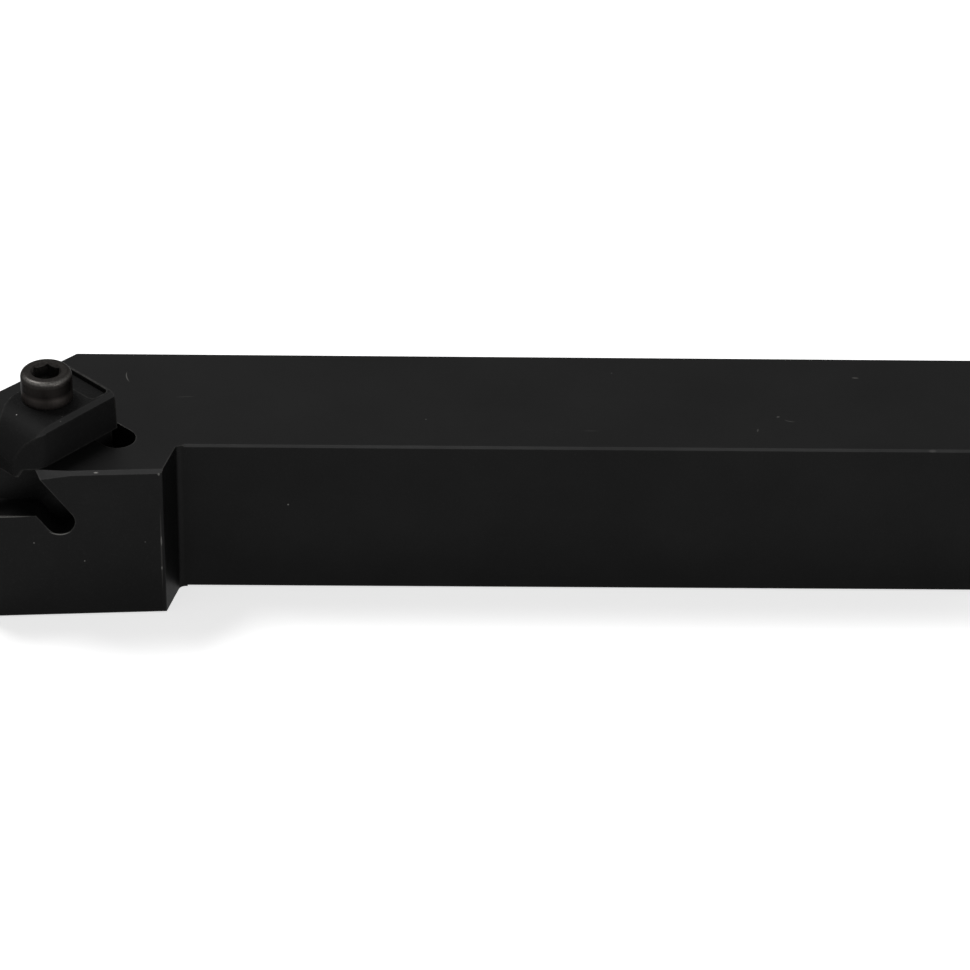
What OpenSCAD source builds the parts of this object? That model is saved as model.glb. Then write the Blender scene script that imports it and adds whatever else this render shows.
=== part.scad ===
// External threading toolholder with a side pocket, a finger clamp and its screw.
// X runs along the shank from the shoulder, Y across it towards the back, Z up.
// The origin is on the base face, under the shank's centre line, at the shoulder.

/* [Shank] */
// Side of the square shank
shank_side = 19.05; // [16:0.01:25.4]
// Length from the nose to the end of the shank
overall_len = 114.3; // [80:0.1:152.4]
// Chamfer on the long edges
edge_break = 0.25; // [0.1:0.05:0.6]
// Chamfer round the end of the shank
end_break = 0.5; // [0.2:0.05:1.5]

/* [Head] */
// Length from the nose to the root of the shoulder
head_len = 23.5; // [22:0.1:32]
// Width from the back face to the side of the nose
functional_w = 25.4; // [23:0.05:32]
// Angle at which the side widens towards the nose
side_taper = 3.3; // [0:0.1:6]
// Lean of the shoulder away from square
shoulder_lean = 15; // [0:0.5:30]
// Fillet at the root of the shoulder
shoulder_fillet = 0.8; // [0.3:0.1:2]
// Rounding of the shoulder's outer corner
shoulder_round = 0.5; // [0.2:0.1:1.5]
// Leg of the 45 degree cut at the back of the nose
back_cut = 11.15; // [6:0.05:12]
// Chamfer of the head's upper side edge
rim_break = 0.4; // [0.1:0.05:0.8]
// Chamfer of the same edge where the pocket cuts it
rim_flare = 0.9; // [0.4:0.05:1.2]
// Length over which that chamfer widens
rim_run = 4; // [2:0.1:8]
// Relief angle of the nose below the insert
nose_relief = 6; // [0:0.5:12]

/* [Insert pocket] */
// Depth of the pocket's floor below the top face
pocket_drop = 5.52; // [4.5:0.01:7]
// Thickness of the insert that the pocket takes
insert_t = 3.81; // [3:0.01:5]
// Width of the relief slot
slot_w = 3.2; // [2:0.05:4]
// Lean of the slot and of the pocket's end wall
slot_lean = 35; // [20:0.5:45]
// Distance from the nose to the centre of the slot's round end
slot_reach = 10.9; // [9:0.05:12]
// Depth of that centre below the pocket's floor
slot_drop = 0.9; // [0.3:0.05:2]

/* [Clamp seat] */
// Distance from the nose to the clamp screw
screw_from_nose = 9.35; // [8:0.05:11]
// Distance from the side of the nose to the clamp screw
screw_from_side = 8.62; // [8:0.01:10]
// Angle of the clamp to the shank
clamp_turn = 45; // [40:0.5:50]
// Distance from the screw to the middle of the heel groove
groove_reach = 4.75; // [4.2:0.05:5.2]
// Width of the heel groove
groove_w = 4; // [3:0.05:4.5]
// Distance between the centres of the groove's round ends
groove_len = 12; // [10:0.1:13]
// Depth of the heel groove
groove_depth = 3.5; // [3.2:0.1:5]
// Depth of the tapped hole at full diameter
tapped_depth = 11; // [10:0.1:13]

/* [Clamp] */
// Height of the clamp above the holder's top face
clamp_h = 4.75; // [4:0.05:6]
// Width of the clamp at its tail
clamp_w = 8.9; // [7.5:0.05:10]
// Distance from the screw to the tail face
clamp_tail = 5.9; // [5.4:0.05:6.4]
// Distance from the screw to the end of the nose
clamp_nose = 7.6; // [6.5:0.05:8]
// Lean of the tail face
tail_lean = 2; // [0:0.1:4]
// Angle at which the front side widens towards the nose
clamp_flare = 2.5; // [0:0.1:4]
// Angle at which the back side closes towards the nose
back_close = 8.5; // [0:0.5:10]
// Distance that the front stays inside the head's side face
front_inset = 0.75; // [0.2:0.05:1.5]
// Angle of the trimmed flank of the nose to the clamp's axis
flank_angle = 36; // [25:1:40]
// Distance from the screw to where that flank starts
flank_start = 3.4; // [3:0.05:4]
// Rounding between the back side and the flank
flank_round = 9.5; // [3:0.5:12]
// Radius that rolls the top down over the nose
roll_r = 4.2; // [2.5:0.05:4.5]
// Rounding of the corner between the side and the front
front_round = 2.5; // [0.5:0.1:3]
// Rounding of the nose's own corners
nose_round = 0.7; // [0.2:0.05:1]
// Drop of the nose lip below the underside
lip_drop = 0.87; // [0.4:0.01:1.2]
// Width of the flat along the lip
lip_flat = 0.36; // [0.2:0.02:0.8]
// Steepness of the lip's inner flank
lip_steep = 65; // [45:1:80]
// Chamfer along the upper edges
clamp_break = 0.5; // [0.2:0.05:0.8]
// Depth of the shallow recess at the tail
recess_depth = 0.6; // [0.2:0.05:1]
// Width of the recess along the clamp
recess_w = 2.45; // [1:0.05:2.6]
// Length of the recess across the clamp
recess_len = 7.6; // [4:0.1:7.7]
// Rounding of the recess's corners
recess_round = 0.65; // [0.3:0.05:1]
// Wall left between the recess and the tail face
recess_rim = 0.3; // [0.2:0.05:0.8]

/* [Heel] */
// Length of the heel below the underside
heel_drop = 3.2; // [2.8:0.05:4.5]
// Amount by which the heel stands in from each side
heel_inset = 0.7; // [0.3:0.05:1.5]
// Gap between the heel and the groove's near wall
heel_gap = 0.3; // [0.1:0.05:0.5]

/* [Clamp screw] */
// Major diameter of the thread
screw_d = 3.5; // [3:0.01:3.6]
// Diameter of the head
screw_head_d = 5.66; // [5:0.01:6]
// Height of the head
screw_head_h = 3.4; // [3:0.05:4]
// Rounding of the head's upper rim
screw_rim = 0.6; // [0.2:0.05:0.8]
// Length under the head
screw_len = 12.7; // [12:0.1:14]
// Hexagon of the key across its flats
key_w = 2.78; // [2:0.01:3]
// Depth of the key socket
key_depth = 1.75; // [1.2:0.05:2.2]
// Turn of the hexagon as the screw is tightened
key_turn = 28; // [0:1:60]
// Width of the socket's bevelled mouth
key_mouth = 3.4; // [3.3:0.05:4.2]
// Radial gap in the tapped hole
thread_gap = 0.05; // [0.02:0.01:0.1]
// Radial gap in the clamp's hole
clamp_hole_gap = 0.2; // [0.1:0.01:0.3]

/* [Hidden] */
$fn = 96;
// Amount by which a cut runs past the face that it opens
over = 1;
far = 200;
hair = 0.001;

nose_x = -head_len;
end_x = overall_len - head_len;
back_y = shank_side / 2;
front_y = -shank_side / 2;
top_z = shank_side;
nose_side_y = back_y - functional_w;
floor_z = top_z - pocket_drop;
seat_y = nose_side_y + insert_t;
slot_at = [nose_x + slot_reach, floor_z - slot_drop];
// Where the pocket's leaning end wall meets the top face
pocket_edge_x = slot_at.x + slot_w / 2 / cos(slot_lean) - (top_z - slot_at.y) * tan(slot_lean);
side_dir = [cos(side_taper), sin(side_taper)];
shoulder_dir = [-sin(shoulder_lean), -cos(shoulder_lean)];

screw_at = [nose_x + screw_from_nose, nose_side_y + screw_from_side];
hole_d = screw_d + 2 * thread_gap;
heel_near = groove_reach - groove_w / 2 + heel_gap;

// Where two lines meet, each given by a point and a direction
function meet(p, u, q, v) =
    let (k = u.x * v.y - u.y * v.x, w = q - p)
    p + u * ((w.x * v.y - w.y * v.x) / k);

function unit(v) = v / norm(v);

// A plan point seen from the screw, with X along the clamp
function to_clamp(p) =
    let (d = p - screw_at, c = cos(clamp_turn), s = sin(clamp_turn))
    [d.x * c + d.y * s, d.y * c - d.x * s];

// The arc of radius r that rounds the corner at p between the edges towards a and b:
// where it meets the edge towards a, and its centre
function half_angle(p, a, b) = acos(unit(a - p) * unit(b - p)) / 2;
function arc_end(p, a, b, r) = p + unit(a - p) * r / tan(half_angle(p, a, b));
function arc_centre(p, a, b, r) =
    p + unit(unit(a - p) + unit(b - p)) * r / sin(half_angle(p, a, b));

// What lies between that corner and its arc. It runs on past both edges, and the arc
// starts a hair outside them, so that the cut is clean
module corner_sliver(p, a, b, r) {
    centre = arc_centre(p, a, b, r);
    difference() {
        polygon([
            centre,
            2 * arc_end(p, a, b, r) - centre,
            2 * p - centre,
            2 * arc_end(p, b, a, r) - centre
        ]);
        translate(centre) circle(r + hair);
    }
}

// A slab that chamfers the level edge from p to q, with the solid on its left
module edge_cut(p, q, z, leg, past = over) {
    run = q - p;
    translate([p.x, p.y, z])
        rotate([0, 0, atan2(run.y, run.x)])
            rotate([z > 0 ? 45 : 135, 0, 0])
                translate([-past, -2 * leg, -leg / sqrt(2)])
                    cube([norm(run) + 2 * past, 4 * leg, 3 * leg]);
}

// A slab that takes away everything on the outer side of a plane
module plane_cut(p, n, size = 30) {
    translate(p)
        rotate([0, acos(n.z / norm(n)), atan2(n.y, n.x)])
            translate([-size / 2, -size / 2, 0])
                cube([size, size, size / 2]);
}

shoulder_root = [0, front_y];
shoulder_tip = meet(shoulder_root, shoulder_dir, [nose_x, nose_side_y], side_dir);
front_end = [end_x, front_y];
body_outline = [
    front_end,
    [end_x, back_y],
    [nose_x + back_cut, back_y],
    [nose_x, back_y - back_cut],
    [nose_x, nose_side_y],
    shoulder_tip,
    arc_end(shoulder_root, shoulder_tip, front_end, shoulder_fillet),
    arc_end(shoulder_root, front_end, shoulder_tip, shoulder_fillet)
];

module body_plan() {
    difference() {
        polygon(body_outline);
        corner_sliver(shoulder_tip, body_outline[4], shoulder_root, shoulder_round);
        translate(arc_centre(shoulder_root, shoulder_tip, front_end, shoulder_fillet))
            circle(shoulder_fillet + hair);
    }
}

// Side view of the room for the insert, with the slot that clears its corner
module pocket_side_view() {
    translate(slot_at) rotate(slot_lean) {
        circle(d = slot_w);
        translate([-slot_w / 2, 0]) square([slot_w, far]);
    }
    intersection() {
        translate(slot_at) rotate(slot_lean)
            translate([slot_w / 2 - far, 0]) square([far, far]);
        translate([nose_x - over, floor_z]) square([far, far]);
    }
}

module insert_pocket() {
    translate([0, seat_y, 0]) rotate([90, 0, 0])
        linear_extrude(functional_w) intersection() {
            pocket_side_view();
            translate([nose_x - over, 0]) square([head_len, top_z + over]);
        }
}

// The groove that guides the clamp's heel, and the tapped hole beside it
module clamp_seat() {
    translate([screw_at.x, screw_at.y, top_z]) rotate([0, 0, clamp_turn]) {
        translate([groove_reach, 0, -groove_depth]) {
            for (end = [-1, 1])
                translate([0, end * groove_len / 2, 0])
                    cylinder(d = groove_w, h = groove_depth + over);
            translate([-groove_w / 2, -groove_len / 2, 0])
                cube([groove_w, groove_len, groove_depth + over]);
        }
        translate([0, 0, -tapped_depth]) {
            cylinder(d = hole_d, h = tapped_depth + over);
            translate([0, 0, -hole_d * 0.3])
                cylinder(d1 = 0, d2 = hole_d, h = hole_d * 0.3);
        }
    }
}

module body_edge_breaks() {
    root_clear = [shoulder_fillet, front_y];
    for (z = [0, top_z]) {
        edge_cut(root_clear, [end_x, front_y], z, edge_break, 0);
        edge_cut([end_x, back_y], body_outline[2], z, edge_break);
        edge_cut(body_outline[2], body_outline[3], z, edge_break);
        edge_cut([end_x, front_y], [end_x, back_y], z, end_break);
    }
    edge_cut(body_outline[4], shoulder_tip, 0, edge_break);
    for (side = [-1, 1])
        plane_cut([end_x - end_break, side * back_y, 0], [1, side, 0], 60);
}

// The chamfer of the head's upper side edge, which widens where the pocket cuts it
module rim_cut() {
    widening = (rim_flare - rim_break) / rim_run;
    inward = [-side_dir.y, side_dir.x];
    normal = [-side_dir.x * widening - inward.x, -side_dir.y * widening - inward.y, 1];
    flare_at = meet([pocket_edge_x, 0], [0, 1], shoulder_tip, side_dir) + inward * rim_flare;
    edge_cut(body_outline[4], shoulder_tip, top_z, rim_break);
    plane_cut([flare_at.x, flare_at.y, top_z], normal, 40);
}

module toolholder_body() {
    color("#2a2a2b")
        difference() {
            linear_extrude(top_z) body_plan();
            insert_pocket();
            clamp_seat();
            body_edge_breaks();
            rim_cut();
            plane_cut([nose_x, 0, floor_z], [-1, 0, -tan(nose_relief)], 60);
        }
}

side_half = clamp_w / 2;
tail_foot = clamp_tail + clamp_h * tan(tail_lean);
front_point = [nose_x, nose_side_y] + front_inset * [-side_dir.y, side_dir.x];
front_a = to_clamp(front_point);
front_dir = to_clamp(front_point + side_dir) - front_a;
right_dir = [-cos(clamp_flare), -sin(clamp_flare)];
left_dir = [-cos(back_close), -sin(back_close)];
flank_dir = [-cos(flank_angle), -sin(flank_angle)];
// The plan runs past the tail, where the side view trims it
tail_right = [tail_foot + over, -side_half];
tail_left = [tail_foot + over, side_half];
front_right = meet(tail_right, right_dir, front_a, front_dir);
nose_front = meet(front_a, front_dir, [-clamp_nose, 0], [0, 1]);
flank_top = meet([-flank_start, 0], [0, 1], tail_left, left_dir);
nose_back = meet(flank_top, flank_dir, [-clamp_nose, 0], [0, 1]);
clamp_outline = [tail_right, front_right, nose_front, nose_back, flank_top, tail_left];

// What the rounded corners of the clamp's plan leave out
module clamp_corners() {
    corner_sliver(front_right, tail_right, nose_front, front_round);
    corner_sliver(nose_front, front_right, nose_back, nose_round);
    corner_sliver(nose_back, nose_front, flank_top, nose_round);
    corner_sliver(flank_top, nose_back, tail_left, flank_round);
}

// Side view of the clamp: flat top, rolled nose and the lip under it
module clamp_side_view() {
    lip_run = lip_drop / tan(lip_steep);
    top_nose = [-clamp_nose, clamp_h];
    difference() {
        polygon([
            [tail_foot, 0],
            [clamp_tail, clamp_h],
            top_nose,
            [-clamp_nose, -lip_drop],
            [-clamp_nose + lip_flat, -lip_drop],
            [-clamp_nose + lip_flat + lip_run, 0]
        ]);
        corner_sliver(top_nose, [clamp_tail, clamp_h], [-clamp_nose, 0], roll_r);
    }
}

module clamp_heel() {
    heel_half = side_half - heel_inset;
    translate([heel_near, -heel_half, -heel_drop])
        cube([clamp_tail - heel_near, 2 * heel_half, heel_drop + over]);
}

module tail_recess() {
    depth = recess_depth + over;
    flat_w = recess_w - 2 * recess_round;
    flat_len = recess_len - 2 * recess_round;
    translate([clamp_tail - recess_rim - recess_w / 2, 0, clamp_h - recess_depth]) {
        for (x = [-1, 1], y = [-1, 1])
            translate([x * flat_w / 2, y * flat_len / 2, 0]) cylinder(r = recess_round, h = depth);
        translate([-recess_w / 2, -flat_len / 2, 0]) cube([recess_w, flat_len, depth]);
        translate([-flat_w / 2, -recess_len / 2, 0]) cube([flat_w, recess_len, depth]);
    }
}

module clamp_breaks() {
    edge_cut(front_right, tail_right, clamp_h, clamp_break);
    edge_cut(tail_left, flank_top, clamp_h, clamp_break / 2);
    // a facet where the side turns into the front
    facet = front_right + [front_round / 2, clamp_break];
    plane_cut([facet.x, facet.y, clamp_h], [-0.25, -1, 1], 8);
}

module clamp() {
    color("#222223")
        translate([screw_at.x, screw_at.y, top_z])
            rotate([0, 0, clamp_turn])
                difference() {
                    union() {
                        intersection() {
                            translate([0, 0, -heel_drop])
                                linear_extrude(heel_drop + clamp_h + over) polygon(clamp_outline);
                            translate([0, clamp_w, 0]) rotate([90, 0, 0])
                                linear_extrude(2 * clamp_w) clamp_side_view();
                        }
                        clamp_heel();
                    }
                    translate([0, 0, -heel_drop - over]) {
                        cylinder(d = screw_d + 2 * clamp_hole_gap, h = far);
                        linear_extrude(far) clamp_corners();
                    }
                    tail_recess();
                    clamp_breaks();
                }
}

// Half section of the screw, with its head standing on the level z = 0
module screw_half_section() {
    head_r = screw_head_d / 2;
    tip = screw_d / 6;
    rim = [head_r, screw_head_h];
    difference() {
        polygon([
            [0, screw_head_h],
            rim,
            [head_r, 0],
            [screw_d / 2, 0],
            [screw_d / 2, tip - screw_len],
            [screw_d / 2 - tip, -screw_len],
            [0, -screw_len]
        ]);
        corner_sliver(rim, [0, screw_head_h], [head_r, 0], screw_rim);
    }
}

module clamp_screw() {
    key_r = key_w / sqrt(3);
    color("#8f8a84")
        translate([screw_at.x, screw_at.y, top_z + clamp_h])
            difference() {
                rotate_extrude() screw_half_section();
                translate([0, 0, screw_head_h - key_depth]) rotate([0, 0, key_turn])
                    cylinder(r = key_r, h = key_depth + over, $fn = 6);
                translate([0, 0, screw_head_h - key_mouth / 4])
                    cylinder(d1 = key_mouth / 2, d2 = key_mouth, h = key_mouth / 4);
            }
}

toolholder_body();
clamp();
clamp_screw();
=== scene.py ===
import math

import bmesh
import bpy
import numpy as np
from mathutils import Matrix


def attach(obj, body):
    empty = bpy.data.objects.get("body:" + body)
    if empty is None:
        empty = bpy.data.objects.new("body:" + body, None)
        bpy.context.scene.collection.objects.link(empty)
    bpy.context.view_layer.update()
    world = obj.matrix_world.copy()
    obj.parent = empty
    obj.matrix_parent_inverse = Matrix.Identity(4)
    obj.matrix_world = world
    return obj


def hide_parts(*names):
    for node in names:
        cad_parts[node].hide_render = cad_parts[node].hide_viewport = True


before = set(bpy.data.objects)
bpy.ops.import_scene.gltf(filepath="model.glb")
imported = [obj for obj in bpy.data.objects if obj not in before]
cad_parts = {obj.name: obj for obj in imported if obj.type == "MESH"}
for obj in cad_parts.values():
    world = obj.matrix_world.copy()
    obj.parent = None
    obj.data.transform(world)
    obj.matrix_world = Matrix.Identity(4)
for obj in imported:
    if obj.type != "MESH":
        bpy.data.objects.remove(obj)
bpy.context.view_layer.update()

scene = bpy.context.scene
print("frame loaded:", sorted(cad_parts))


def aimed(place, right, up, ahead):
    # The turn has right, up and back as its columns
    return Matrix.Translation(place) @ Matrix((right, up, -ahead)).transposed().to_4x4()


# The camera stands where the photograph was taken from
photoCamera = {
    "place": (0.02284, -0.35908, 0.25016),
    "yaw": 1.839,  # degrees to the right of +Y
    "pitch": 34.023,  # degrees down
    "roll": 1.428,  # degrees
    "lens": 141.1,  # mm on a 36 mm sensor
}


def placeCamera(spec):
    yaw, pitch, roll = (math.radians(spec[key]) for key in ("yaw", "pitch", "roll"))
    level = np.array([math.sin(yaw), math.cos(yaw), 0.0])
    ahead = level * math.cos(pitch) - np.array([0.0, 0.0, math.sin(pitch)])
    side = np.array([math.cos(yaw), -math.sin(yaw), 0.0])
    above = np.cross(side, ahead)
    right = math.cos(roll) * side + math.sin(roll) * above
    up = -math.sin(roll) * side + math.cos(roll) * above
    data = bpy.data.cameras.new("camera")
    data.sensor_width = 36.0
    data.lens = spec["lens"]
    data.clip_start = 0.01
    data.clip_end = 20.0
    camera = bpy.data.objects.new("camera", data)
    scene.collection.objects.link(camera)
    camera.matrix_world = aimed(spec["place"], right, up, ahead)
    scene.camera = camera


placeCamera(photoCamera)
print("camera placed")


# Small helpers for building shader nodes
def addNode(tree, kind, **settings):
    item = tree.nodes.new(kind)
    for key, value in settings.items():
        setattr(item, key, value)
    return item


def plug(tree, value, socket):
    # A link where the value is a socket, otherwise a constant
    if hasattr(value, "links"):
        tree.links.new(value, socket)
    else:
        socket.default_value = value


def startGroup(name, inputs, outputs):
    tree = bpy.data.node_groups.new(name, "ShaderNodeTree")
    for label, value in inputs:
        kind = "NodeSocketVector" if value is None else "NodeSocketFloat"
        socket = tree.interface.new_socket(label, in_out="INPUT", socket_type=kind)
        if value is not None:
            socket.default_value = value
    for label in outputs:
        tree.interface.new_socket(label, in_out="OUTPUT", socket_type="NodeSocketFloat")
    return tree, addNode(tree, "NodeGroupInput"), addNode(tree, "NodeGroupOutput")


def mathNode(tree, operation, first, second=0.0, clamp=False):
    item = addNode(tree, "ShaderNodeMath", operation=operation, use_clamp=clamp)
    plug(tree, first, item.inputs[0])
    plug(tree, second, item.inputs[1])
    return item.outputs[0]


def remap(tree, value, low, high, newLow=0.0, newHigh=1.0):
    item = addNode(tree, "ShaderNodeMapRange", clamp=True)
    tree.links.new(value, item.inputs["Value"])
    for label, number in (("From Min", low), ("From Max", high), ("To Min", newLow), ("To Max", newHigh)):
        item.inputs[label].default_value = number
    return item.outputs["Result"]


def objectCoords(tree):
    return addNode(tree, "ShaderNodeTexCoord").outputs["Object"]


def noiseAt(tree, coords, scale, detail=2.0, roughness=0.5, stretch=(1.0, 1.0, 1.0), shift=0.0):
    mapping = addNode(tree, "ShaderNodeMapping")
    mapping.inputs["Scale"].default_value = stretch
    mapping.inputs["Location"].default_value = (shift, shift * 0.7, shift * 1.3)
    tree.links.new(coords, mapping.inputs["Vector"])
    noise = addNode(tree, "ShaderNodeTexNoise", noise_dimensions="3D")
    tree.links.new(mapping.outputs[0], noise.inputs["Vector"])
    noise.inputs["Detail"].default_value = detail
    noise.inputs["Roughness"].default_value = roughness
    plug(tree, scale, noise.inputs["Scale"])
    return noise.outputs["Fac"]


# Effects that every steel shares. Noise scales are per metre.
edgeWearSpec = {
    "rays": 8,
    "edgeFrom": 0.08,  # share of rays that meet the surface again
    "edgeFull": 0.5,
    "patchScale": 130.0,
    "chipShare": 0.6,
    "coverReach": 0.7,
    "contrast": 5.0,
}


def makeEdgeWear(spec):
    # Rays sent into the steel meet its surface again only near an outer edge. That share is
    # the edge, and noise breaks it up.
    inputs = (("Radius", 0.0002), ("Breakup", 900.0), ("Cover", 0.5))
    tree, into, out = startGroup("edgeWear", inputs, ("Wear", "Edge"))
    coords = objectCoords(tree)
    within = addNode(tree, "ShaderNodeAmbientOcclusion", samples=spec["rays"], inside=True, only_local=True)
    tree.links.new(into.outputs["Radius"], within.inputs["Distance"])
    met = mathNode(tree, "SUBTRACT", 1.0, within.outputs["AO"])
    edge = remap(tree, met, spec["edgeFrom"], spec["edgeFull"])
    chips = noiseAt(tree, coords, into.outputs["Breakup"], 4.0, 0.62)
    chips = mathNode(tree, "MULTIPLY", chips, spec["chipShare"])
    patches = noiseAt(tree, coords, spec["patchScale"], 2.0, 0.5, shift=0.31)
    patches = mathNode(tree, "MULTIPLY", patches, 1.0 - spec["chipShare"])
    mix = mathNode(tree, "ADD", chips, patches)
    uncovered = mathNode(tree, "SUBTRACT", 1.0, into.outputs["Cover"])
    limit = mathNode(tree, "MULTIPLY", uncovered, spec["coverReach"])
    kept = mathNode(tree, "SUBTRACT", mix, limit)
    kept = mathNode(tree, "MULTIPLY", kept, spec["contrast"], clamp=True)
    tree.links.new(mathNode(tree, "MULTIPLY", edge, kept), out.inputs["Wear"])
    tree.links.new(edge, out.inputs["Edge"])
    return tree


steelGrainSpec = {
    "fineScale": 11000.0,
    "lineScale": 5200.0,
    "lineStretch": (0.012, 1.0, 1.0),
    "cloudScale": 90.0,
    "grainShare": 0.65,
}


def makeSteelGrain(spec):
    # Fine blasted grain, faint grinding lines along X and a slow cloudiness
    inputs = (("Grain Size", 4200.0), ("Lines", 0.4))
    tree, into, out = startGroup("steelGrain", inputs, ("Height", "Cloud", "Grain"))
    coords = objectCoords(tree)
    grain = noiseAt(tree, coords, into.outputs["Grain Size"], 3.0, 0.6)
    fine = noiseAt(tree, coords, spec["fineScale"], 1.0, 0.5, shift=0.17)
    lines = noiseAt(tree, coords, spec["lineScale"], 2.0, 0.55, stretch=spec["lineStretch"])
    cloud = noiseAt(tree, coords, spec["cloudScale"], 4.0, 0.55, shift=0.53)
    coarse = mathNode(tree, "MULTIPLY", grain, spec["grainShare"])
    fine = mathNode(tree, "MULTIPLY", fine, 1.0 - spec["grainShare"])
    groundAndHighlight = mathNode(tree, "MULTIPLY", lines, into.outputs["Lines"])
    height = mathNode(tree, "ADD", mathNode(tree, "ADD", coarse, fine), groundAndHighlight)
    tree.links.new(height, out.inputs["Height"])
    tree.links.new(cloud, out.inputs["Cloud"])
    tree.links.new(grain, out.inputs["Grain"])
    return tree


# A run of scratches is a turn in radians and a stretch along the scratch
dustSpec = {
    "speckScale": 330.0,
    "speckShare": 0.34,
    "speckSize": 0.055,
    "speckContrast": 60.0,
    "scratchScale": 1500.0,
    "scratchShare": 0.012,
    "scratchWidth": 0.1,
    "scratchContrast": 18.0,
    "scratchRuns": (((0.0, 0.2, 0.25), 0.05), ((0.35, 0.2, -0.9), 0.07)),
}


def makeDust(spec):
    # Sparse dust specks and short hairline scratches
    inputs = (("Speck Density", 0.5), ("Scratch Density", 0.5))
    tree, into, out = startGroup("dustAndScratches", inputs, ("Specks", "Scratches"))
    coords = objectCoords(tree)
    cells = addNode(tree, "ShaderNodeTexVoronoi", feature="F1", voronoi_dimensions="3D")
    cells.inputs["Scale"].default_value = spec["speckScale"]
    cells.inputs["Randomness"].default_value = 1.0
    tree.links.new(coords, cells.inputs["Vector"])
    split = addNode(tree, "ShaderNodeSeparateColor")
    tree.links.new(cells.outputs["Color"], split.inputs[0])
    share = mathNode(tree, "MULTIPLY", into.outputs["Speck Density"], spec["speckShare"])
    chosen = mathNode(tree, "LESS_THAN", split.outputs[0], share)
    reach = mathNode(tree, "MULTIPLY", split.outputs[1], spec["speckSize"])
    near = mathNode(tree, "SUBTRACT", reach, cells.outputs["Distance"])
    spot = mathNode(tree, "MULTIPLY", near, spec["speckContrast"], clamp=True)
    tree.links.new(mathNode(tree, "MULTIPLY", spot, chosen), out.inputs["Specks"])
    total = 0.0
    for turn, stretch in spec["scratchRuns"]:
        mapping = addNode(tree, "ShaderNodeMapping", vector_type="POINT")
        mapping.inputs["Rotation"].default_value = turn
        mapping.inputs["Scale"].default_value = (stretch, 1.0, 1.0)
        tree.links.new(coords, mapping.inputs["Vector"])
        streaks = addNode(tree, "ShaderNodeTexVoronoi", feature="F1", voronoi_dimensions="3D")
        streaks.inputs["Scale"].default_value = spec["scratchScale"]
        tree.links.new(mapping.outputs[0], streaks.inputs["Vector"])
        parts = addNode(tree, "ShaderNodeSeparateColor")
        tree.links.new(streaks.outputs["Color"], parts.inputs[0])
        share = mathNode(tree, "MULTIPLY", into.outputs["Scratch Density"], spec["scratchShare"])
        some = mathNode(tree, "LESS_THAN", parts.outputs[0], share)
        line = mathNode(tree, "SUBTRACT", spec["scratchWidth"], streaks.outputs["Distance"])
        line = mathNode(tree, "MULTIPLY", line, spec["scratchContrast"], clamp=True)
        line = mathNode(tree, "MULTIPLY", line, some)
        total = mathNode(tree, "MAXIMUM", line, total)
    tree.links.new(total, out.inputs["Scratches"])
    return tree


def makeNick():
    # One struck mark in coordinates of its own, where it reaches from -1 to 1 each way. It is
    # 1 less the distance from the middle, after y is moved by the bend times x squared.
    inputs = (("Place", None), ("Bend", 0.0), ("Sharpness", 2.5))
    tree, into, out = startGroup("nick", inputs, ("Mask",))
    split = addNode(tree, "ShaderNodeSeparateXYZ")
    tree.links.new(into.outputs["Place"], split.inputs[0])
    square = mathNode(tree, "MULTIPLY", split.outputs[0], split.outputs[0])
    bow = mathNode(tree, "MULTIPLY", square, into.outputs["Bend"])
    across = mathNode(tree, "SUBTRACT", split.outputs[1], bow)
    total = mathNode(tree, "ADD", square, mathNode(tree, "MULTIPLY", across, across))
    total = mathNode(tree, "ADD", total, mathNode(tree, "MULTIPLY", split.outputs[2], split.outputs[2]))
    left = mathNode(tree, "SUBTRACT", 1.0, mathNode(tree, "SQRT", total))
    mask = mathNode(tree, "MULTIPLY", left, into.outputs["Sharpness"], clamp=True)
    tree.links.new(mask, out.inputs["Mask"])
    return tree


edgeWear = makeEdgeWear(edgeWearSpec)
steelGrain = makeSteelGrain(steelGrainSpec)
dust = makeDust(dustSpec)
nick = makeNick()
print("shader groups made")


def srgb(value):
    # A display value from 0 to 255 as a linear share
    share = value / 255.0
    return share / 12.92 if share <= 0.04045 else ((share + 0.055) / 1.055) ** 2.4


def shade(red, green=None, blue=None):
    green = red if green is None else green
    blue = red if blue is None else blue
    return (srgb(red), srgb(green), srgb(blue), 1.0)


def placeGroup(tree, group, **values):
    item = addNode(tree, "ShaderNodeGroup")
    item.node_tree = group
    for label, value in values.items():
        item.inputs[label.replace("_", " ")].default_value = value
    return item


def blendColours(tree, share, first, second):
    item = addNode(tree, "ShaderNodeMix", data_type="RGBA")
    plug(tree, share, item.inputs[0])
    plug(tree, first, item.inputs[6])
    plug(tree, second, item.inputs[7])
    return item.outputs[2]


def placeNicks(tree, marks):
    # Each mark has its middle and its half sizes in metres, and its turn in degrees
    total = 0.0
    for at, turn, size, bend, strength in marks:
        mapping = addNode(tree, "ShaderNodeMapping", vector_type="TEXTURE")
        mapping.inputs["Location"].default_value = at
        mapping.inputs["Rotation"].default_value = [math.radians(angle) for angle in turn]
        mapping.inputs["Scale"].default_value = size
        tree.links.new(objectCoords(tree), mapping.inputs["Vector"])
        mark = placeGroup(tree, nick, Bend=bend)
        tree.links.new(mapping.outputs[0], mark.inputs["Place"])
        mask = mathNode(tree, "MULTIPLY", mark.outputs["Mask"], strength)
        total = mathNode(tree, "MAXIMUM", mask, total)
    return total


# Where the noise behind each effect begins to tell and where it is full
noiseReach = {
    "cloud": (0.3, 0.7),
    "fleck": (0.52, 0.8),
    "groundAndHighlight": (0.35, 0.65),
    "patch": (0.3, 0.6),
    "height": (0.2, 0.9),
}


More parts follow.
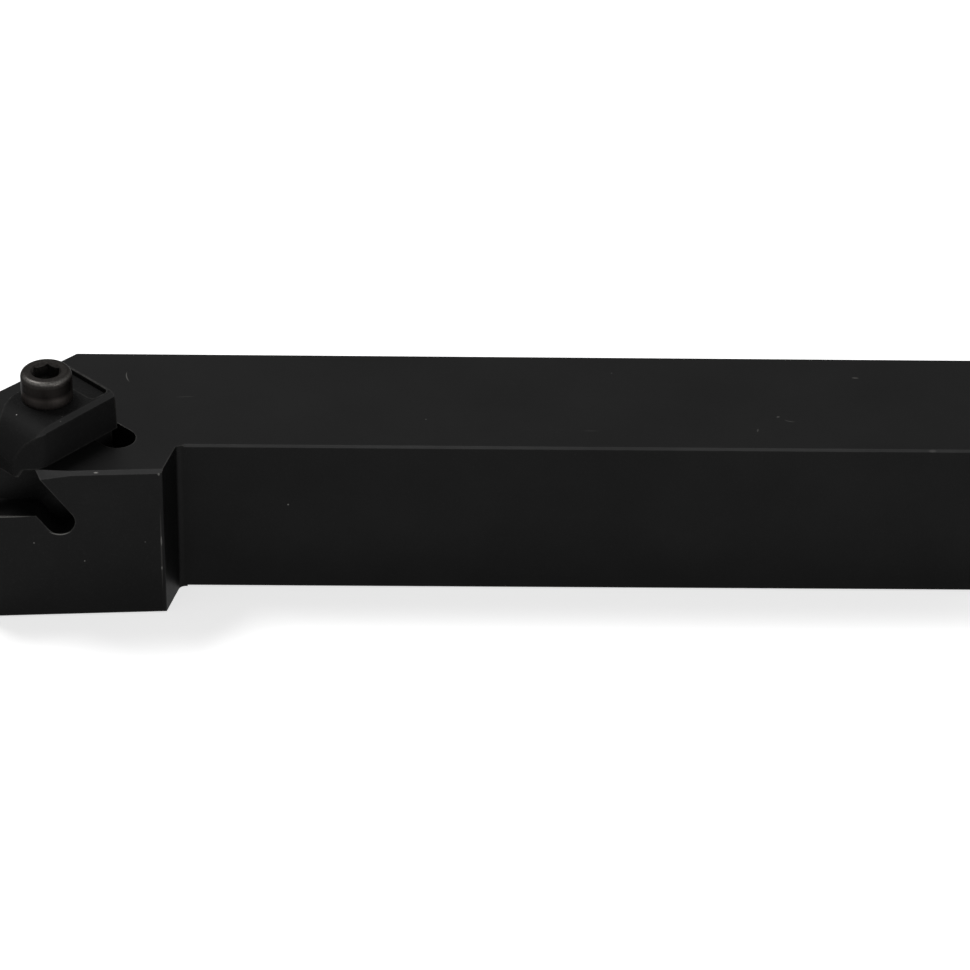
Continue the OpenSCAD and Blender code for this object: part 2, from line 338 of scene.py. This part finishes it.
def makeSteel(name, spec):
    material = bpy.data.materials.new(name)
    material.use_nodes = True
    tree = material.node_tree
    tree.nodes.clear()
    out = addNode(tree, "ShaderNodeOutputMaterial")
    shader = addNode(tree, "ShaderNodeBsdfPrincipled")
    tree.links.new(shader.outputs[0], out.inputs[0])
    shader.inputs["Specular IOR Level"].default_value = spec["specular"]
    shader.inputs["Specular Tint"].default_value = spec["edgeTint"]
    worn = {"Radius": spec["wearRadius"], "Breakup": spec["wearBreakup"], "Cover": spec["wearCover"]}
    wear = placeGroup(tree, edgeWear, **worn)
    grain = placeGroup(tree, steelGrain, Grain_Size=spec["grainSize"], Lines=spec["lines"])
    dirt = placeGroup(tree, dust, Speck_Density=spec["specks"], Scratch_Density=spec["scratches"])
    cloud = remap(tree, grain.outputs["Cloud"], *noiseReach["cloud"])
    base = blendColours(tree, cloud, spec["dark"], spec["light"])
    fleck = remap(tree, grain.outputs["Grain"], *noiseReach["fleck"])
    fleck = mathNode(tree, "MULTIPLY", fleck, spec["fleck"])
    base = blendColours(tree, fleck, base, spec["fleckColour"])
    # A painted highlight on the chamfers that face the camera, made uneven by the cloud noise
    groundAndHighlight = addNode(tree, "ShaderNodeAttribute", attribute_name="groundAndHighlight").outputs["Fac"]
    uneven = remap(tree, grain.outputs["Cloud"], *noiseReach["groundAndHighlight"], spec["chamferHighlightLeast"], 1.0)
    groundAndHighlight = mathNode(tree, "MULTIPLY", groundAndHighlight, uneven)
    base = blendColours(tree, groundAndHighlight, base, spec["chamferHighlightColour"])
    # A painted reflection: a lighter band on the piece, where it has one
    if "reflectionAttribute" in spec:
        reflectionBand = addNode(tree, "ShaderNodeAttribute", attribute_name=spec["reflectionAttribute"])
        base = blendColours(tree, reflectionBand.outputs["Fac"], base, spec["reflectionColour"])
    bare = mathNode(tree, "MULTIPLY", wear.outputs["Wear"], spec["wearStrength"])
    brushed = mathNode(tree, "MULTIPLY", wear.outputs["Edge"], spec["rubStrength"])
    bare = mathNode(tree, "MAXIMUM", bare, brushed)
    scratched = mathNode(tree, "MULTIPLY", dirt.outputs["Scratches"], spec["scratchStrength"])
    bare = mathNode(tree, "MAXIMUM", bare, scratched)
    if spec["nicks"]:
        bare = mathNode(tree, "MAXIMUM", bare, placeNicks(tree, spec["nicks"]))
    # The rubbed mask is partly wear and partly a painted highlight on the front of the screw's rim
    if "rubAndHighlightAttribute" in spec:
        rubbedAndHighlit = addNode(tree, "ShaderNodeAttribute", attribute_name=spec["rubAndHighlightAttribute"]).outputs["Fac"]
        patchy = remap(tree, grain.outputs["Grain"], *noiseReach["patch"], spec["rubPatchy"], 1.0)
        bare = mathNode(tree, "MAXIMUM", bare, mathNode(tree, "MULTIPLY", rubbedAndHighlit, patchy))
    base = blendColours(tree, bare, base, spec["bare"])
    specks = mathNode(tree, "MULTIPLY", dirt.outputs["Specks"], spec["speckStrength"])
    base = blendColours(tree, specks, base, spec["dust"])
    tree.links.new(base, shader.inputs["Base Color"])
    metal = mathNode(tree, "MULTIPLY", bare, 1.0 - spec["metal"])
    metal = mathNode(tree, "ADD", metal, spec["metal"], clamp=True)
    tree.links.new(metal, shader.inputs["Metallic"])
    rough = remap(tree, grain.outputs["Height"], *noiseReach["height"], spec["smooth"], spec["rough"])
    polish = mathNode(tree, "MULTIPLY", bare, spec["polish"])
    rough = mathNode(tree, "SUBTRACT", rough, polish, clamp=True)
    tree.links.new(rough, shader.inputs["Roughness"])
    bump = addNode(tree, "ShaderNodeBump")
    bump.inputs["Strength"].default_value = spec["bump"]
    bump.inputs["Distance"].default_value = spec["bumpDepth"]
    cut = mathNode(tree, "MULTIPLY", dirt.outputs["Scratches"], spec["scratchDepth"])
    tree.links.new(mathNode(tree, "SUBTRACT", grain.outputs["Height"], cut), bump.inputs["Height"])
    tree.links.new(bump.outputs[0], shader.inputs["Normal"])
    return material


# Black oxide over ground faces. A nick is its middle, turn in degrees, half sizes, bend and
# strength.
holderLook = {
    "dark": shade(22),
    "light": shade(25),
    "fleckColour": shade(44),
    "fleck": 0.2,
    "bare": shade(120, 119, 116),
    "dust": shade(170, 170, 166),
    # the colour of the painted highlight on the chamfers facing the camera
    "chamferHighlightColour": shade(46),
    "chamferHighlightLeast": 0.7,
    "specular": 0.06,
    "edgeTint": (0.6, 0.6, 0.6, 1.0),
    "metal": 0.85,
    "smooth": 0.32,
    "rough": 0.46,
    "polish": 0.12,
    "bump": 0.2,
    "bumpDepth": 0.00002,
    "lines": 0.3,
    "grainSize": 4200.0,
    "wearRadius": 0.00016,
    "wearBreakup": 700.0,
    "wearCover": 0.5,
    "wearStrength": 0.24,
    "rubStrength": 0.05,
    "specks": 0.35,
    "speckStrength": 0.2,
    "scratches": 0.4,
    "scratchStrength": 0.15,
    "scratchDepth": 1.5,
    "nicks": [
        # the top face
        ((-0.0063, 0.0044, 0.01905), (0, 0, -79), (0.00115, 0.00008, 0.0003), 2.5, 0.3),
        ((0.0005, 0.00036, 0.01905), (0, 0, 5), (0.0012, 0.00005, 0.0003), 0.0, 0.12),
        ((0.0669, -0.0029, 0.01905), (0, 0, 20), (0.00022, 0.00013, 0.0003), 0.0, 0.3),
        ((0.0681, -0.0038, 0.01905), (0, 0, -18), (0.0007, 0.00007, 0.0003), 2.5, 0.2),
        ((0.0644, -0.0057, 0.01905), (0, 0, 80), (0.00035, 0.0001, 0.0003), 0.0, 0.2),
        ((0.07636, 0.00536, 0.01905), (0, 0, -4), (0.00045, 0.00012, 0.0003), 0.0, 0.3),
        ((0.0835, -0.00945, 0.01895), (0, 0, 0), (0.0005, 0.0002, 0.0002), 0.0, 0.12),
        # the head's upper side edge
        ((-0.0085, -0.0148, 0.019), (0, 0, 3), (0.00034, 0.00009, 0.0003), 0.0, 0.55),
        ((-0.00169, -0.01462, 0.0186), (0, 0, 0), (0.00014, 0.00014, 0.0002), 0.0, 0.35),
        # the head's side face and its upright edge
        ((-0.01557, -0.01542, 0.00993), (0, 0, 0), (0.0001, 0.0002, 0.0001), 0.0, 0.4),
        ((-0.01013, -0.0151, 0.00733), (0, 0, 0), (0.00009, 0.0002, 0.00009), 0.0, 0.5),
        ((-0.0034, -0.01472, 0.00967), (0, 0, 0), (0.0001, 0.0002, 0.0001), 0.0, 0.2),
        ((-0.00164, -0.01461, 0.00975), (0, 90, 0), (0.0008, 0.00009, 0.00009), 0.0, 0.35),
        ((-0.00167, -0.01462, 0.0061), (0, 90, 0), (0.0003, 0.0001, 0.0001), 0.0, 0.35),
        # a painted highlight: a long faint line down the upright edge
        ((-0.00166, -0.01461, 0.0085), (0, 90, 0), (0.006, 0.0001, 0.0001), 0.0, 0.08),
        # the foot of the slot and the edge of the pocket floor
        ((-0.01265, -0.01525, 0.01097), (90, 0, 0), (0.00135, 0.0001, 0.0004), 4.5, 0.4),
        ((-0.0192, -0.0156, 0.0135), (90, 0, 0), (0.005, 0.00013, 0.0003), 0.0, 0.25),
    ],
}

clampLook = dict(
    holderLook,
    dark=shade(22),
    light=shade(26),
    # the colour of the painted highlight on the chamfers facing the camera
    chamferHighlightColour=shade(44),
    fleck=0.25,
    lines=0.0,
    grainSize=3600.0,
    bump=0.3,
    smooth=0.5,
    rough=0.66,
    specular=0.02,
    edgeTint=(0.3, 0.3, 0.3, 1.0),
    metal=0.4,
    wearRadius=0.0003,
    wearBreakup=1500.0,
    wearStrength=0.16,
    scratches=0.2,
    nicks=[
        ((-0.01723, -0.01066, 0.0238), (0, 0, 0), (0.00011, 0.00011, 0.0003), 0.0, 0.7),
        ((-0.01235, -0.01189, 0.0238), (0, 0, 30), (0.0001, 0.00007, 0.0004), 0.0, 0.4),
        ((-0.01223, -0.01125, 0.0238), (0, 0, 30), (0.00008, 0.00006, 0.0004), 0.0, 0.4),
        ((-0.0138, -0.0147, 0.0236), (0, 0, 40), (0.00018, 0.0001, 0.0005), 0.0, 0.5),
    ],
)

screwLook = dict(
    holderLook,
    dark=shade(22, 20, 19),
    light=shade(27, 25, 24),
    fleckColour=shade(48, 45, 42),
    bare=shade(165, 162, 158),
    # a painted reflection at the foot of the head
    reflectionAttribute="lowReflectionBand",
    reflectionColour=shade(61, 57, 55),
    # rubbed wear, with a painted highlight on the front of the rim
    rubAndHighlightAttribute="rubbedAndHighlit",
    rubPatchy=0.4,
    specular=0.12,
    edgeTint=(0.42, 0.42, 0.42, 1.0),
    smooth=0.34,
    rough=0.48,
    polish=0.25,
    bump=0.15,
    lines=0.0,
    wearRadius=0.00006,
    wearCover=0.4,
    wearStrength=0.2,
    rubStrength=0.0,
    specks=0.0,
    nicks=[],
)

holderSteel = makeSteel("blackOxideHolder", holderLook)
clampSteel = makeSteel("blackOxideClamp", clampLook)
screwSteel = makeSteel("rubbedAndHighlitScrewSteel", screwLook)
print("materials made")


# The holder and its clamp are the imported solids with their outer edges rounded. The faces that look
# within a given number of degrees of one direction, the chamfers by the camera, are marked for a painted
# highlight.
holderBody = {
    "edgeRadius": 0.00007,
    "edgeSteps": 3,
    "edgeAngle": 20.0,
    "mergeDistance": 1e-6,
    "flatAngle": 0.3,
    "flatWeight": 90,
    "highlightToward": (0.0, -0.707, 0.707),
    "highlightSpread": 25.0,
}
clampBody = dict(
    holderBody,
    edgeRadius=0.00012,
    highlightToward=(0.44, -0.56, 0.705),
    highlightSpread=20.0,
)


def roundedCopy(node, name, spec, material):
    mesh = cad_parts[node].data.copy()
    mesh.name = name
    work = bmesh.new()
    work.from_mesh(mesh)
    bmesh.ops.remove_doubles(work, verts=work.verts, dist=spec["mergeDistance"])
    flat = math.radians(spec["flatAngle"])
    bmesh.ops.dissolve_limit(work, angle_limit=flat, verts=work.verts, edges=work.edges)
    # The outer edges are rounded and the inner ones stay crisp
    share = work.edges.layers.float.new("bevel_weight_edge")
    limit = math.radians(spec["edgeAngle"])
    for edge in work.edges:
        bent = edge.is_manifold and edge.calc_face_angle() > limit
        edge[share] = float(bent and edge.is_convex)
        edge.smooth = not bent or edge.is_convex
    work.to_mesh(mesh)
    work.free()
    mesh.materials.clear()
    mesh.materials.append(material)
    mesh.polygons.foreach_set("use_smooth", np.ones(len(mesh.polygons), bool))
    facing = np.empty(len(mesh.polygons) * 3)
    mesh.polygons.foreach_get("normal", facing)
    # The chamfers that face the camera are marked for a painted highlight
    spread = math.cos(math.radians(spec["highlightSpread"]))
    groundAndHighlight = facing.reshape(-1, 3) @ np.array(spec["highlightToward"]) > spread
    mesh.attributes.new("groundAndHighlight", "FLOAT", "FACE").data.foreach_set("value", groundAndHighlight.astype(float))
    piece = bpy.data.objects.new(name, mesh)
    scene.collection.objects.link(piece)
    rounding = piece.modifiers.new("edge rounding", "BEVEL")
    rounding.width = spec["edgeRadius"]
    rounding.segments = spec["edgeSteps"]
    rounding.limit_method = "WEIGHT"
    rounding.use_clamp_overlap = True
    flats = piece.modifiers.new("flat faces stay flat", "WEIGHTED_NORMAL")
    flats.mode = "FACE_AREA"
    flats.weight = spec["flatWeight"]
    flats.keep_sharp = True
    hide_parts(node)
    return piece


holder = roundedCopy("toolholder_body", "holder", holderBody, holderSteel)
finger = roundedCopy("clamp", "fingerClamp", clampBody, clampSteel)
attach(holder, "holder")
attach(finger, "finger_clamp")
print("holder and clamp made")


capScrew = {
    "axis": (-0.01415, -0.007255),
    "seat": 0.0238,
    "headRadius": 0.00283,
    "headHeight": 0.0034,
    "rimRadius": 0.0006,
    "footBreak": 0.00012,
    "reflectionHeight": 0.0013,  # the painted reflection at the foot of the head
    "reflectionFade": 0.0003,
    "reflectionBack": 0.3,  # strength of the painted reflection on the far side
    "rubSocket": 0.1,
    "rubTop": 0.03,
    "rubRimBack": 0.02,
    # the painted highlight on the front of the rim
    "rimHighlight": 0.3,
    "rimHighlightAngle": 0.72,  # radians down the rim, where the painted highlight is strongest
    "rimHighlightSpread": 0.32,
    "keyWidth": 0.00278,
    "keyDepth": 0.00175,
    "keyMouth": 0.0034,
    "keyTurn": 28.0,
    "keyDish": 0.00028,
    "keyChamfer": 0.0004,
    "threadRadius": 0.00175,
    "threadDepth": 0.00042,
    "threadFlank": 1.14,
    "threadRoot": 0.92,
    "threadRunOut": 0.0004,
    "pitch": 0.00079375,
    "neck": 0.0009,
    "length": 0.0127,
    "tip": 0.00058,
    "columns": 144,
    "rowsPerPitch": 14,
    "sharpAngle": 38.0,
}


def makeCapScrew(spec):
    # A grid of rows along the section and columns round the axis. Each row has a height and
    # a radius that may depend on the angle: a hexagon in the socket, a ramp that climbs one
    # pitch per turn on the thread, and a plain circle elsewhere.
    turn = np.linspace(0.0, 2.0 * np.pi, spec["columns"], endpoint=False)
    sixth = np.mod(turn - math.radians(spec["keyTurn"]), np.pi / 3.0) - np.pi / 6.0
    hexagon = spec["keyWidth"] / 2.0 / np.cos(sixth)
    top = spec["headHeight"]
    mouth = spec["keyMouth"] / 2.0
    head = spec["headRadius"]
    rim = spec["rimRadius"]
    rows = []
    floor = top - spec["keyDepth"]
    widest = 0.985
    for share in (0.35, 0.7, 0.93, widest):
        rows.append((hexagon * share, floor - spec["keyDish"] * (widest - share), spec["rubSocket"]))
    for height in np.linspace(floor + 0.00003, top - spec["keyChamfer"] - 0.00005, 5):
        rows.append((hexagon, height, spec["rubSocket"]))
    for height in np.linspace(top - spec["keyChamfer"], top, 9):
        rows.append((np.maximum(hexagon, mouth - (top - height)), height, spec["rubTop"]))
    for radius in np.linspace(mouth + 0.00004, head - rim, 4):
        rows.append((radius, top, spec["rubTop"]))
    # The rim is a little rubbed all round, with a painted highlight on its front
    front = 0.5 - 0.5 * np.sin(turn)
    for step in np.linspace(0.0, np.pi / 2.0, 13)[1:]:
        away = (step - spec["rimHighlightAngle"]) / spec["rimHighlightSpread"]
        rubbedAndHighlit = spec["rubRimBack"] + spec["rimHighlight"] * front**3 * math.exp(-(away**2))
        rows.append((head - rim + rim * math.sin(step), top - rim + rim * math.cos(step), rubbedAndHighlit))
    foot = spec["footBreak"]
    for height in np.linspace(top - rim, foot, 12)[1:]:
        rows.append((head, height, 0.0))
    rows.append((head - foot * 0.3, foot * 0.3, 0.0))
    rows.append((head - foot, 0.0, 0.0))
    rows.append((spec["threadRadius"] + 0.0001, 0.0, 0.0))
    count = int(round((spec["length"] - spec["tip"]) / spec["pitch"] * spec["rowsPerPitch"]))
    for height in -np.linspace(0.00006, spec["length"] - spec["tip"], count):
        phase = np.mod(height / spec["pitch"] - turn / (2.0 * np.pi), 1.0)
        groove = np.clip(1.0 - np.abs(phase - 0.5) * 2.0 * spec["threadFlank"], 0.0, spec["threadRoot"])
        start = np.clip((-height - spec["neck"]) / spec["pitch"], 0.0, 1.0)
        end = np.clip((height + spec["length"] - spec["tip"]) / spec["threadRunOut"], 0.0, 1.0)
        rows.append((spec["threadRadius"] - spec["threadDepth"] * groove * start * end, height, 0.0))
    rows.append((spec["threadRadius"] - spec["tip"], -spec["length"], 0.0))
    rows.append(((spec["threadRadius"] - spec["tip"]) * 0.5, -spec["length"], 0.0))
    radius = np.array([np.broadcast_to(row[0], turn.shape) for row in rows])
    height = np.array([row[1] for row in rows])[:, None] + np.zeros_like(radius)
    rubbedAndHighlit = np.array([np.broadcast_to(row[2], turn.shape) for row in rows])
    # A painted reflection of the floor: a lighter band at the foot of the head, strongest on the front
    reflectionBand = np.clip((spec["reflectionHeight"] - height) / spec["reflectionFade"] + 0.5, 0.0, 1.0)
    reflectionBand = reflectionBand * (height > -1e-6) * (radius > mouth)
    reflectionBand = reflectionBand * (spec["reflectionBack"] + (1.0 - spec["reflectionBack"]) * front**2)
    x, y = spec["axis"]
    grid = np.stack([x + radius * np.cos(turn), y + radius * np.sin(turn), spec["seat"] + height], axis=-1)
    first = (x, y, spec["seat"] + floor - spec["keyDish"])
    last = (x, y, spec["seat"] - spec["length"])
    points = np.concatenate([grid.reshape(-1, 3), [first, last]])
    n, m = radius.shape
    ring = np.arange(m)
    after = np.roll(ring, -1)
    down = np.arange(n - 1)[:, None] * m
    # Seen from outside, each quad runs ahead round the axis and then back up the section
    quads = np.stack([down + ring, down + m + ring, down + m + after, down + after], axis=-1).reshape(-1, 4)
    fans = np.concatenate([
        np.stack([np.full(m, n * m), ring, after], axis=-1),
        np.stack([np.full(m, n * m + 1), (n - 1) * m + after, (n - 1) * m + ring], axis=-1),
    ])
    mesh = bpy.data.meshes.new("capScrew")
    mesh.from_pydata(points.tolist(), [], quads.tolist() + fans.tolist())
    for label, values in (("rubbedAndHighlit", rubbedAndHighlit), ("lowReflectionBand", reflectionBand)):
        layer = mesh.attributes.new(label, "FLOAT", "POINT")
        layer.data.foreach_set("value", np.append(values.ravel(), [0.0, 0.0]))
    mesh.validate()
    work = bmesh.new()
    work.from_mesh(mesh)
    bmesh.ops.recalc_face_normals(work, faces=work.faces)
    work.to_mesh(mesh)
    work.free()
    mesh.polygons.foreach_set("use_smooth", np.ones(len(mesh.polygons), bool))
    mesh.set_sharp_from_angle(angle=math.radians(spec["sharpAngle"]))
    mesh.materials.append(screwSteel)
    piece = bpy.data.objects.new("capScrew", mesh)
    scene.collection.objects.link(piece)
    return piece


screw = makeCapScrew(capScrew)
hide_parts("clamp_screw")
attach(screw, "screw")
print("cap screw made:", len(screw.data.polygons), "faces")


# A white sheet and plain studio light
stage = {
    "floorSize": 6.0,
    "floorHeight": -0.00002,
    "floorColour": (0.8, 0.8, 0.8, 1.0),
    "floorGlow": 0.6,
    "seenWhite": 1.0,
    "worldFill": 0.2,
}


def seenDirectly(tree):
    # 1 for what the camera, a reflection or a view through glass shows, and 0 for lighting
    path = addNode(tree, "ShaderNodeLightPath")
    seen = mathNode(tree, "ADD", path.outputs["Is Camera Ray"], path.outputs["Is Glossy Ray"], clamp=True)
    return mathNode(tree, "ADD", seen, path.outputs["Is Transmission Ray"], clamp=True)


def makeStage(spec):
    half = spec["floorSize"] / 2.0
    around = ((-half, -half), (half, -half), (half, half), (-half, half))
    corners = [(x, y, spec["floorHeight"]) for x, y in around]
    mesh = bpy.data.meshes.new("floor")
    mesh.from_pydata(corners, [], [(0, 1, 2, 3)])
    floor = bpy.data.objects.new("floor", mesh)
    scene.collection.objects.link(floor)
    material = bpy.data.materials.new("paleFloor")
    material.use_nodes = True
    tree = material.node_tree
    tree.nodes.clear()
    out = addNode(tree, "ShaderNodeOutputMaterial")
    plain = addNode(tree, "ShaderNodeBsdfDiffuse")
    plain.inputs["Color"].default_value = spec["floorColour"]
    glow = addNode(tree, "ShaderNodeEmission")
    glow.inputs["Strength"].default_value = spec["floorGlow"]
    both = addNode(tree, "ShaderNodeAddShader")
    tree.links.new(plain.outputs[0], both.inputs[0])
    tree.links.new(glow.outputs[0], both.inputs[1])
    mix = addNode(tree, "ShaderNodeMixShader")
    tree.links.new(seenDirectly(tree), mix.inputs[0])
    tree.links.new(plain.outputs[0], mix.inputs[1])
    tree.links.new(both.outputs[0], mix.inputs[2])
    tree.links.new(mix.outputs[0], out.inputs[0])
    mesh.materials.append(material)
    world = bpy.data.worlds.new("studio")
    scene.world = world
    world.use_nodes = True
    tree = world.node_tree
    tree.nodes.clear()
    out = addNode(tree, "ShaderNodeOutputWorld")
    sky = addNode(tree, "ShaderNodeBackground")
    sky.inputs["Color"].default_value = (1.0, 1.0, 1.0, 1.0)
    strength = remap(tree, seenDirectly(tree), 0.0, 1.0, spec["worldFill"], spec["seenWhite"])
    tree.links.new(strength, sky.inputs["Strength"])
    tree.links.new(sky.outputs[0], out.inputs[0])


lamps = [
    {
        "name": "key",
        "place": (-0.35, 0.35, 0.85),
        "target": (0.02, 0.0, 0.01),
        "size": (0.4, 0.3),
        "power": 7.0,
    },
    {
        "name": "rightFill",
        "place": (0.75, -0.65, 0.35),
        "target": (0.0, 0.0, 0.01),
        "size": (0.3, 0.3),
        "power": 3.0,
    },
    {
        "name": "frontSpark",
        "place": (-0.1, -0.55, 0.84),
        "target": (-0.01, 0.0, 0.02),
        "size": (0.12, 0.05),
        "power": 0.4,
    },
]


def addLamp(spec):
    data = bpy.data.lights.new(spec["name"], "AREA")
    data.shape = "RECTANGLE"
    data.size, data.size_y = spec["size"]
    data.energy = spec["power"]
    lamp = bpy.data.objects.new(spec["name"], data)
    scene.collection.objects.link(lamp)
    ahead = np.array(spec["target"], float) - np.array(spec["place"], float)
    ahead /= np.linalg.norm(ahead)
    side = np.cross(ahead, (0.0, 0.0, 1.0))
    side /= np.linalg.norm(side)
    above = np.cross(side, ahead)
    lamp.matrix_world = aimed(spec["place"], side, above, ahead)


makeStage(stage)
for lamp in lamps:
    addLamp(lamp)
print("stage and lamps made")

scene.view_settings.view_transform = "Standard"
